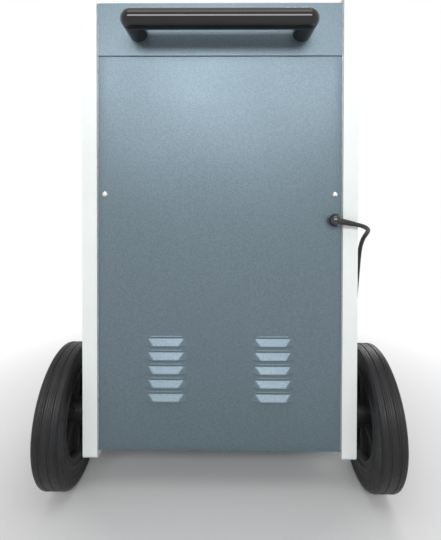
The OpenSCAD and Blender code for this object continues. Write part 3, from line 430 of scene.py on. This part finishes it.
def paint(obj, mat):
    obj.data.materials.clear()
    obj.data.materials.append(mat)


leadPath = leadLine(lead)
mainsLead = roundLead("mainsLead", leadPath, lead["diameter"], lead["sides"], finishOf["rubber"])
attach(mainsLead, "charger")
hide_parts("mains_cord", "mains_coil")


studio = {
    "fill": 0.42,
    "floorSize": 16,
    "floorUnder": 0.0003,  # the floor lies this much below the wheels
    "floorColour": (0.72, 0.72, 0.72),
    "floorShade": 0.985,  # its faint clouds are this much darker
    "fadeFrom": 0.24,  # the floor turns white between these distances from the middle
    "fadeTo": 0.66,
    "lamps": {
        "key": {"at": (0.03, 1.43, 1.0), "aim": (0, 0.2, 0.62), "size": (1.2, 0.33), "watts": 12},
        "ceiling": {"at": (0, 0.9, 2.1), "aim": (0, 0.1, 0.6), "size": (1.4, 0.9), "watts": 7},
        "front": {"at": (-1.2, -2.4, 1.7), "aim": (0, 0, 0.4), "size": (1.6, 1.2), "watts": 30},
    },
}


def seenRays(tree):
    path = tree.nodes.new("ShaderNodeLightPath")
    total = path.outputs["Is Camera Ray"]
    for ray in ("Is Glossy Ray", "Is Transmission Ray"):
        both = tree.nodes.new("ShaderNodeMath")
        both.operation = "MAXIMUM"
        tree.links.new(total, both.inputs[0])
        tree.links.new(path.outputs[ray], both.inputs[1])
        total = both.outputs["Value"]
    return total


def makeWorld(v):
    world = bpy.data.worlds.new("studioWorld")
    world.use_nodes = True
    tree = world.node_tree
    light = tree.nodes["Background"]
    light.inputs["Color"].default_value = (1, 1, 1, 1)
    light.inputs["Strength"].default_value = v["fill"]
    white = tree.nodes.new("ShaderNodeBackground")
    white.inputs["Color"].default_value = (1, 1, 1, 1)
    mix = tree.nodes.new("ShaderNodeMixShader")
    tree.links.new(seenRays(tree), mix.inputs["Fac"])
    tree.links.new(light.outputs["Background"], mix.inputs[1])
    tree.links.new(white.outputs["Background"], mix.inputs[2])
    tree.links.new(mix.outputs["Shader"], tree.nodes["World Output"].inputs["Surface"])
    scene.world = world


def floorPaint(v):
    mat, tree, shader = newFinish("floorPaint", v["floorColour"], 0.7, specular=0.1)
    cloud = noiseField(tree, 3, 4)
    darker = tuple(v["floorShade"] * c for c in v["floorColour"])
    blendColours(tree, shader, cloud, darker, v["floorColour"])
    coords = tree.nodes.new("ShaderNodeTexCoord")
    away = tree.nodes.new("ShaderNodeVectorMath")
    away.operation = "LENGTH"
    tree.links.new(coords.outputs["Object"], away.inputs[0])
    fade = between(tree, away.outputs["Value"], 0, 1, v["fadeFrom"], v["fadeTo"])
    product = tree.nodes.new("ShaderNodeMath")
    product.operation = "MULTIPLY"
    tree.links.new(fade, product.inputs[0])
    tree.links.new(seenRays(tree), product.inputs[1])
    glow = tree.nodes.new("ShaderNodeEmission")
    mix = tree.nodes.new("ShaderNodeMixShader")
    tree.links.new(product.outputs["Value"], mix.inputs["Fac"])
    tree.links.new(shader.outputs["BSDF"], mix.inputs[1])
    tree.links.new(glow.outputs["Emission"], mix.inputs[2])
    tree.links.new(mix.outputs["Shader"], tree.nodes["Material Output"].inputs["Surface"])
    return mat


def makeFloor(v):
    mesh = bpy.data.meshes.new("floor")
    h = v["floorSize"] / 2
    mesh.from_pydata([(-h, -h, 0), (h, -h, 0), (h, h, 0), (-h, h, 0)], [], [(0, 1, 2, 3)])
    floor = bpy.data.objects.new("floor", mesh)
    floor.location.z = -v["floorUnder"]
    scene.collection.objects.link(floor)
    paint(floor, floorPaint(v))


def makeLamp(name, v):
    data = bpy.data.lights.new(name, "AREA")
    data.shape = "RECTANGLE"
    data.size, data.size_y = v["size"]
    data.energy = v["watts"]
    lamp = bpy.data.objects.new(name, data)
    lamp.location = v["at"]
    lamp.rotation_euler = (Vector(v["aim"]) - Vector(v["at"])).to_track_quat("-Z", "Y").to_euler()
    lamp.visible_camera = False
    scene.collection.objects.link(lamp)


makeWorld(studio)
makeFloor(studio)
for lampName, lampValues in studio["lamps"].items():
    makeLamp(lampName, lampValues)
scene.view_settings.view_transform = "Standard"
print("studio lit")


mergeWithin = 2e-6  # points closer than this become one


def meshPiece(name, points, faces, mat, body, slotName, *stoodFor, smooth=True):
    mesh = bpy.data.meshes.new(name)
    mesh.from_pydata([tuple(p) for p in points], [], faces)
    joined = bmesh.new()
    joined.from_mesh(mesh)
    bmesh.ops.remove_doubles(joined, verts=joined.verts, dist=mergeWithin)
    joined.to_mesh(mesh)
    joined.free()
    mesh.validate()
    for face in mesh.polygons:
        face.use_smooth = smooth
    piece = bpy.data.objects.new(name, mesh)
    scene.collection.objects.link(piece)
    paint(piece, mat)
    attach(piece, body)
    if stoodFor:
        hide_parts(*stoodFor)
    return piece


def thicken(piece, thickness):
    solid = piece.modifiers.new("sheetThickness", "SOLIDIFY")
    solid.thickness = thickness
    solid.offset = -1  # inwards


def softLower(a, b, blend):
    h = min(max(0.5 + 0.5 * (b - a) / blend, 0), 1)
    return b + (a - b) * h - blend * h * (1 - h)


louvre = {
    "length": 0.062,
    "height": 0.0105,
    "standsOut": 0.005,
    "slant": 0.005,
    "endRun": 0.0125,
    "step": 0.02,
    "count": 5,
    "fromMiddle": 0.077,
    "lowest": 0.083,  # over the side panels' lower edge
    "slotReach": 0.001,  # the hood's shape is asked for from this far under the slot
    "faceSwell": 1.12,
    "ridge": 0.0006,
    "ridgeAbove": 0.0021,
    "ridgeWidth": 0.0011,
    "ridgeFade": (-0.001, 0.006),  # the ridge dies out between these distances from its end
    "round": 0.0006,
}


def hoodHeight(v, u, z):
    along = v["length"] / 2 - v["slant"] * max(z, 0) / v["height"] - abs(u)
    ends = v["standsOut"] * along / v["endRun"]
    face = v["faceSwell"] * v["standsOut"] * (1 - z / v["height"])
    rounded = softLower(softLower(face, ends, v["round"]), v["standsOut"], v["round"])
    hood = max(rounded, 0) if z >= 0 else 0
    away = (z - v["height"] - v["ridgeAbove"]) / v["ridgeWidth"]
    edge = smoothBetween(*v["ridgeFade"], v["length"] / 2 - v["slant"] - abs(u))
    return hood + v["ridge"] * math.exp(-away * away) * edge


def gridLines(low, high, coarse, fineParts):
    lines = {round(low, 6), round(high, 6)}
    cuts = sorted({low, high, *[c for part in fineParts for c in part[:2]]})
    for a, b in zip(cuts, cuts[1:]):
        inFine = [part[2] for part in fineParts if part[0] <= (a + b) / 2 <= part[1]]
        n = max(1, round((b - a) / (inFine[0] if inFine else coarse)))
        lines |= {round(a + (b - a) * k / n, 6) for k in range(n + 1)}
    return sorted(lines)


sheet = {
    "coarse": 0.012,  # between the lines of points, which lie closer where the sheet bends
    "fineAcross": 0.0011,
    "fineUp": 0.0006,
    "fineEdge": 0.00015,
    "fineUnder": 0.0018,
    "fineFlange": 0.001,
    "margin": 0.003,
    "sameLine": 0.00001,
    "slotGap": 0.0001,
    "thickness": 0.0012,
    "edgeRadius": 0.0006,
    "wave": 0.00022,
    "waveSink": 1.5,  # keeps the waves under the flat face
    "waveFrom": 0.04,  # the waves grow up to this far in from the edges
    "longWaves": (23, 17),
    "longShift": (1.3, 0.4),
    "shortWaves": (41, 29),
    "shortShare": 0.5,
    "tuckedIn": 0.0026,  # the upper edge steps in and runs on behind the sheet over it
    "flange": 0.026,  # over the side frames' flanges it steps in less
    "flangeDeep": 0.0014,
    "clear": 0.0001,
}

panels = {
    "rearSheet": {"node": "rear_panel", "outward": 1, "behind": "top_cover", "tuckedUp": 0.006},
    "frontSheet": {"node": "front_panel", "outward": -1, "behind": "control_panel", "tuckedUp": 0.0022},
}


def panelColumns(low, high):
    middle, half, m = louvre["fromMiddle"], louvre["length"] / 2, sheet["margin"]
    r, flange, strip = sheet["edgeRadius"], sheet["flange"], sheet["fineFlange"]
    fine = [(s * middle - half - m, s * middle + half + m, sheet["fineAcross"]) for s in (-1, 1)]
    fine += [(low, low + r, sheet["fineEdge"]), (high - r, high, sheet["fineEdge"])]
    fine += [(x, x + strip, sheet["fineEdge"]) for x in (low + flange, high - flange - strip)]
    return gridLines(low, high, sheet["coarse"], fine)


def panelRows(low, high, bottoms):
    r = sheet["edgeRadius"]
    fine = [(z, z + louvre["height"] + 2 * sheet["margin"], sheet["fineUp"]) for z in bottoms]
    fine += [(z - sheet["fineUnder"], z, sheet["fineUp"]) for z in bottoms]
    fine += [(low, low + r, sheet["fineEdge"]), (high - r, high, sheet["fineEdge"])]
    rows = []
    for z in gridLines(low, high, sheet["coarse"], fine):
        if any(abs(z - bottom) < sheet["sameLine"] for bottom in bottoms):
            rows.append((z, z - sheet["slotGap"]))  # the flat sheet under the louvre's open slot
        rows.append((z, z))
    return rows


def ripple(x, z):
    (longX, longZ), (shiftX, shiftZ) = sheet["longWaves"], sheet["longShift"]
    shortX, shortZ = sheet["shortWaves"]
    longWave = math.sin(x * longX + shiftX) * math.sin(z * longZ + shiftZ)
    return longWave + sheet["shortShare"] * math.sin(x * shortX - z * shortZ)


def hoodAt(x, z, bottoms):
    hood = 0
    for bottom in bottoms:
        if -louvre["slotReach"] < z - bottom < louvre["height"] + 3 * sheet["margin"]:
            hood = max(hood, hoodHeight(louvre, abs(x) - louvre["fromMiddle"], z - bottom))
    return hood


def standsOutAt(x, z, hood, low, high):
    r = sheet["edgeRadius"]
    inFrom = min(x - low[0], high[0] - x, z - low[2], high[2] - z)
    drop = r - math.sqrt(max(r * r - max(r - inFrom, 0) ** 2, 0))
    flat = smoothBetween(0, sheet["waveFrom"], inFrom)
    return hood - sheet["wave"] * (sheet["waveSink"] + ripple(x, z)) * flat - drop


def panelFace(node, outward):
    low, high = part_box(node)
    return high[1] - louvre["standsOut"] if outward > 0 else low[1] + louvre["standsOut"]


def tuckedEdge(columns, rows, face, low, high, v):
    points = []
    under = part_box(v["behind"])[0][2] - sheet["clear"]
    for lift in (-sheet["clear"], v["tuckedUp"]):
        top = high[2] + lift
        rows.append((top, top))
        for x in columns:
            onFlange = min(x - low[0], high[0] - x) < sheet["flange"]
            deep = sheet["flangeDeep"] if onFlange else sheet["tuckedIn"]
            points.append((x, face - v["outward"] * deep, min(top, under) if onFlange else top))
    return points


def sheetFaces(columns, rows, outward):
    w = len(columns)
    faces = []
    for j in range(len(rows) - 1):
        if rows[j][0] == rows[j + 1][0]:  # the slot stays open
            continue
        for i in range(w - 1):
            quad = (j * w + i, j * w + i + 1, (j + 1) * w + i + 1, (j + 1) * w + i)
            faces.append(quad if outward < 0 else quad[::-1])
    return faces


def pressedPanel(name, v):
    low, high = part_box(v["node"])
    face = panelFace(v["node"], v["outward"])
    bottoms = [caseBottom + louvre["lowest"] + i * louvre["step"] for i in range(louvre["count"])]
    columns, rows = panelColumns(low[0], high[0]), panelRows(low[2], high[2], bottoms)
    points = []
    for z, zHood in rows:
        for x in columns:
            out = standsOutAt(x, z, hoodAt(x, zHood, bottoms), low, high)
            points.append((x, face + v["outward"] * out, z))
    points += tuckedEdge(columns, rows, face, low, high, v)
    faces = sheetFaces(columns, rows, v["outward"])
    piece = meshPiece(name, points, faces, finishOf["grey_paint"], "charger", "grey_paint", v["node"])
    thicken(piece, sheet["thickness"])


for panelName, panelValues in panels.items():
    pressedPanel(panelName, panelValues)
print("panels pressed")


tyre = {
    "tread": 0.1,
    "rim": 0.066,
    "width": 0.036,
    "shoulder": 0.006,
    "mainGroove": 0.0014,
    "mainGrooveWidth": 0.0016,
    "fineGroove": 0.0005,
    "fineRibs": 12,
    "sideIn": 0.0018,  # the sidewall stands in from the full width and comes out to the shoulder
    "sideFlare": 0.0012,
    "flareFrom": 0.7,
    "bead": 0.0016,
    "beadOut": 0.0045,
    "beadWidth": 0.0018,
    "ring": 0.0007,
    "ringUnderTread": 0.0125,
    "ringWidth": 0.0008,
    "corner": 0.0006,
    "segments": 180,
    "stepsUpSide": 21,
    "stepsAcross": 84,
    "closeAtEdges": 0.35,  # the share of the steps' spacing that tightens towards both edges
}


def treadRadius(v, s):
    into = v["shoulder"] - min(s, v["width"] - s)
    r = v["tread"]
    if into > 0:
        r -= v["shoulder"] - math.sqrt(max(v["shoulder"] ** 2 - into ** 2, 0))
    for third in (1, 2):
        away = (s - v["width"] * third / 3) / v["mainGrooveWidth"]
        r -= v["mainGroove"] * math.exp(-2 * away ** 4)
    wave = 0.5 - 0.5 * math.cos(2 * math.pi * v["fineRibs"] * s / v["width"])
    return r - v["fineGroove"] * wave ** 3


def sidewall(v):
    side = []
    for k in range(v["stepsUpSide"] + 1):
        t = k / v["stepsUpSide"]
        r = v["rim"] + (v["tread"] - v["shoulder"] - v["rim"]) * t
        x = v["sideIn"] - v["sideFlare"] * smoothBetween(v["flareFrom"], 1, t)
        x -= v["bead"] * math.exp(-((r - v["rim"] - v["beadOut"]) / v["beadWidth"]) ** 2)
        x -= v["ring"] * math.exp(-((r - v["tread"] + v["ringUnderTread"]) / v["ringWidth"]) ** 2)
        side.append((max(x, 0), r))
    return side


def tyreProfile(v):
    w, n, close = v["width"], v["stepsAcross"], v["closeAtEdges"]
    side = sidewall(v)
    top = []
    for k in range(n + 1):
        s = w * (0.5 - 0.5 * math.cos(math.pi * k / n)) * close + w * k / n * (1 - close)
        s = min(max(s, v["corner"]), w - v["corner"])
        top.append((s, treadRadius(v, s)))
    far = [(w - x, r) for x, r in reversed(side)]
    return side + top + far


def spun(profile, segments, centre, mirror):
    points, faces = [], []
    n = len(profile)
    for i in range(segments):
        a = 2 * math.pi * i / segments
        for x, r in profile:
            y, z = centre[1] + r * math.cos(a), centre[2] + r * math.sin(a)
            points.append((centre[0] + mirror * x, y, z))
    for i in range(segments):
        j = (i + 1) % segments
        for k in range(n):
            m = (k + 1) % n
            quad = (i * n + k, j * n + k, j * n + m, i * n + m)
            faces.append(quad if mirror > 0 else quad[::-1])
    return points, faces


def ribbedTyre(side, mirror):
    low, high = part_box("tyre_" + side)
    inner = low[0] if mirror > 0 else high[0]
    centre = (inner, (low[1] + high[1]) / 2, (low[2] + high[2]) / 2)
    points, faces = spun(tyreProfile(tyre), tyre["segments"], centre, mirror)
    meshPiece("ribbedTyre_" + side, points, faces, finishOf["tyre_rubber"], "wheel_" + side,
              "tyre_rubber", "tyre_" + side)


ribbedTyre("right", 1)
ribbedTyre("left", -1)
print("tyres ribbed")


softEdges = {
    "side_panel_left": 0.0006,
    "side_panel_right": 0.0006,
    "handle_elbow_left": 0.0005,
    "handle_elbow_right": 0.0005,
    "cable_gland": 0.0006,
    "strain_relief": 0.0004,
    "mains_plug": 0.001,
    "wheel_rim_left": 0.0008,
    "wheel_rim_right": 0.0008,
    "axle_cap_left": 0.0008,
    "axle_cap_right": 0.0008,
    "front_stand": 0.0008,
    "foot_pads": 0.0006,
    "ammeter_case": 0.0006,
    "selector_knob": 0.0006,
    "timer_knob": 0.0006,
    "rocker_frame": 0.0004,
    "mains_rocker": 0.0003,
    "reset_button": 0.0003,
    "breaker_body": 0.0004,
    "fuse_base": 0.0005,
    "fuse_cover": 0.0005,
    "terminal_knobs": 0.0007,
    "terminal_collars": 0.0005,
    "transformer_core": 0.0005,
    "rectifier_heatsink": 0.0003,
}
softening = {"weldWithin": 0.00001, "segments": 2, "sharperThan": math.radians(35)}


def soften(name, width, v):
    obj = nodes[name]
    weld = obj.modifiers.new("oneSkin", "WELD")
    weld.merge_threshold = v["weldWithin"]
    bevel = obj.modifiers.new("softEdge", "BEVEL")
    bevel.width = width
    bevel.segments = v["segments"]
    bevel.limit_method = "ANGLE"
    bevel.angle_limit = v["sharperThan"]
    obj.modifiers.new("evenShade", "WEIGHTED_NORMAL")


for softName, softWidth in softEdges.items():
    soften(softName, softWidth, softening)
print("edges softened")


jointOf = {joint["name"]: joint for joint in frame["record"]["behaviour"]["joints"]}
across = Vector((1, 0, 0))
outOfPanel = -Vector(jointOf["selector_turn"]["axis"]).normalized()
upPanel = outOfPanel.cross(across)
panelSkin = max(outOfPanel.dot(nodes["control_panel"].matrix_world @ v.co)
                for v in nodes["control_panel"].data.vertices)


def panelPoint(place, x, y, lift):
    at = Vector(place)
    at += outOfPanel * (panelSkin - outOfPanel.dot(at))
    return at + across * x + upPanel * y + outOfPanel * lift


def onPanel(place, lift=0):
    return lambda x, y, height: panelPoint(place, x, y, lift + height)


def slab(outlines, bottom, top, pointAt):
    points, faces = [], []
    for outline in outlines:
        n, first = len(outline), len(points)
        for lift in (bottom, top):
            points += [pointAt(x, y, lift) for x, y in outline]
        faces.append(tuple(first + k for k in reversed(range(n))))
        faces.append(tuple(first + n + k for k in range(n)))
        for k in range(n):
            m = (k + 1) % n
            faces.append((first + k, first + m, first + n + m, first + n + k))
    return points, faces


def clockRay(degrees, near, far, width):
    a = math.radians(90 - degrees)
    ux, uy = math.cos(a), math.sin(a)
    w = width / 2
    return [(ux * near + uy * w, uy * near - ux * w), (ux * far + uy * w, uy * far - ux * w),
            (ux * far - uy * w, uy * far + ux * w), (ux * near - uy * w, uy * near + ux * w)]


def ringParts(radius, width, start, end, count):
    parts = []
    for k in range(count):
        corners = []
        for part, r in ((k, radius), (k, radius + width), (k + 1, radius + width), (k + 1, radius)):
            a = math.radians(90 - start - (end - start) * part / count)
            corners.append((r * math.cos(a), r * math.sin(a)))
        parts.append(corners)
    return parts


printed = {"sunk": 0.0001, "proud": 0.00012, "numberThick": 0.00006}


def bar(width, start, end):
    w = width / 2
    return [(-w, start), (w, start), (w, end), (-w, end)]


def printedMarks(name, outlines, pointAt, mat, slotName, body="charger"):
    points, faces = slab(outlines, -printed["sunk"], printed["proud"], pointAt)
    meshPiece(name, points, faces, mat, body, slotName, smooth=False)


def printedNumber(name, value, at, size, mat):
    data = bpy.data.curves.new(name, "FONT")
    data.body = str(value)
    data.size = size
    data.extrude = printed["numberThick"]
    data.align_x, data.align_y = "CENTER", "CENTER"
    letters = bpy.data.objects.new(name + "Letters", data)
    scene.collection.objects.link(letters)
    bpy.context.view_layer.update()
    mesh = bpy.data.meshes.new_from_object(letters.evaluated_get(bpy.context.evaluated_depsgraph_get()))
    bpy.data.objects.remove(letters)
    turn = Matrix((across, upPanel, outOfPanel)).transposed().to_4x4()
    mesh.transform(Matrix.Translation(at) @ turn)
    number = bpy.data.objects.new(name, mesh)
    scene.collection.objects.link(number)
    paint(number, mat)
    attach(number, "charger")


def onClock(place, degrees, radius, lift):
    a = math.radians(90 - degrees)
    return panelPoint(place, radius * math.cos(a), radius * math.sin(a), lift)


meterScale = {
    "lift": 0.0018,
    "from": -45,
    "to": 45,
    "steps": 25,
    "radius": 0.0355,
    "ringWidth": 0.0003,
    "ringParts": 48,
    "mainLine": (0.0028, 0.0005),  # long and wide
    "smallLine": (0.0016, 0.00025),
    "numberEvery": 5,
    "numberStep": 10,
    "numberRadius": 0.0405,
    "numberSize": 0.0042,
}


def drawMeterScale(v, ink):
    place = jointOf["needle_swing"]["pos_m"]
    outlines = ringParts(v["radius"], v["ringWidth"], v["from"], v["to"], v["ringParts"])
    for k in range(v["steps"] + 1):
        turn = v["from"] + (v["to"] - v["from"]) * k / v["steps"]
        main = k % v["numberEvery"] == 0
        length, width = v["mainLine"] if main else v["smallLine"]
        outlines.append(clockRay(turn, v["radius"], v["radius"] + length, width))
        if main:
            value = k // v["numberEvery"] * v["numberStep"]
            at = onClock(place, turn, v["numberRadius"], v["lift"])
            printedNumber("meterNumber_%d" % value, value, at, v["numberSize"], ink)
    printedMarks("meterScale", outlines, onPanel(place, v["lift"]), ink, "black_paint")


knobScales = {
    "selector": {"joint": "selector_turn", "steps": 5, "small": 1, "first": 1},
    "timer": {"joint": "timer_turn", "steps": 10, "small": 2, "first": 0},
}

knobMarks = {
    "from": 0.0265,
    "mainLine": (0.0305, 0.0009),  # out to this radius, and wide
    "smallLine": (0.0285, 0.0005),
    "numberRadius": 0.0345,
    "numberSize": 0.0062,
    "numberLift": 0.0001,
    "pointerWidth": 0.0012,
    "pointerFrom": 0.003,
    "pointerTo": 0.0212,
    "pointerLift": 0.0213,  # in the groove along the knob's bar, just over its floor
}


def drawKnobScale(name, v, m, ink):
    joint = jointOf[v["joint"]]
    place = joint["pos_m"]
    low, high = joint["range_deg"]
    outlines = []
    for k in range(v["steps"] * v["small"] + 1):
        turn = low + (high - low) * k / (v["steps"] * v["small"])
        main = k % v["small"] == 0
        reach, width = m["mainLine"] if main else m["smallLine"]
        outlines.append(clockRay(turn, m["from"], reach, width))
        if main:
            value = v["first"] + k // v["small"]
            at = onClock(place, turn, m["numberRadius"], m["numberLift"])
            printedNumber("%sNumber_%d" % (name, value), value, at, m["numberSize"], ink)
    printedMarks(name + "Scale", outlines, onPanel(place), ink, "white_paint")
    pointer = [bar(m["pointerWidth"], m["pointerFrom"], m["pointerTo"])]
    printedMarks(name + "Pointer", pointer, onPanel(place, m["pointerLift"]), ink, "white_paint", name)


rockerMarks = {
    "tilt": math.radians(12),  # of each half of the rocker's face
    "valley": 0.0055,
    "out": 0.0045,
    "barWidth": 0.0012,
    "barHalf": 0.0022,
    "ringRadius": 0.0016,
    "ringWidth": 0.0007,
    "ringParts": 28,
}


def rockerPoint(side, x, y, lift):
    a = rockerMarks["tilt"]
    s = side * (rockerMarks["out"] + y * side)
    along = s * math.cos(a) - side * math.sin(a) * lift
    height = rockerMarks["valley"] + abs(s) * math.sin(a) + math.cos(a) * lift
    up = along * math.cos(a) + height * math.sin(a)
    out = height * math.cos(a) - along * math.sin(a)
    return Vector(jointOf["rocker_tilt"]["pos_m"]) + across * x + upPanel * up + outOfPanel * out


def onRocker(side):
    return lambda x, y, height: rockerPoint(side, x, y, height)


def drawRockerMarks(v, ink):
    onMark = [bar(v["barWidth"], -v["barHalf"], v["barHalf"])]
    offMark = ringParts(v["ringRadius"], v["ringWidth"], 0, 360, v["ringParts"])
    for name, side, outlines in (("rockerMarkOn", 1, onMark), ("rockerMarkOff", -1, offMark)):
        printedMarks(name, outlines, onRocker(side), ink, "white_paint", "rocker")


blackInk, whiteInk = dialInk(), panelInk()
drawMeterScale(meterScale, blackInk)
for scaleName, scaleValues in knobScales.items():
    drawKnobScale(scaleName, scaleValues, knobMarks, whiteInk)
drawRockerMarks(rockerMarks, whiteInk)
print("scales drawn")


slotOf = {part["node"]: part["material_slot"] for part in frame["record"]["subparts"]}


def dress(name, mat):
    obj = nodes[name]
    if not obj.material_slots:
        obj.data.materials.append(mat)
    for slot in obj.material_slots:
        slot.material = mat


for nodeName in nodes:
    dress(nodeName, finishOf[slotOf[nodeName]])
print("pieces dressed")
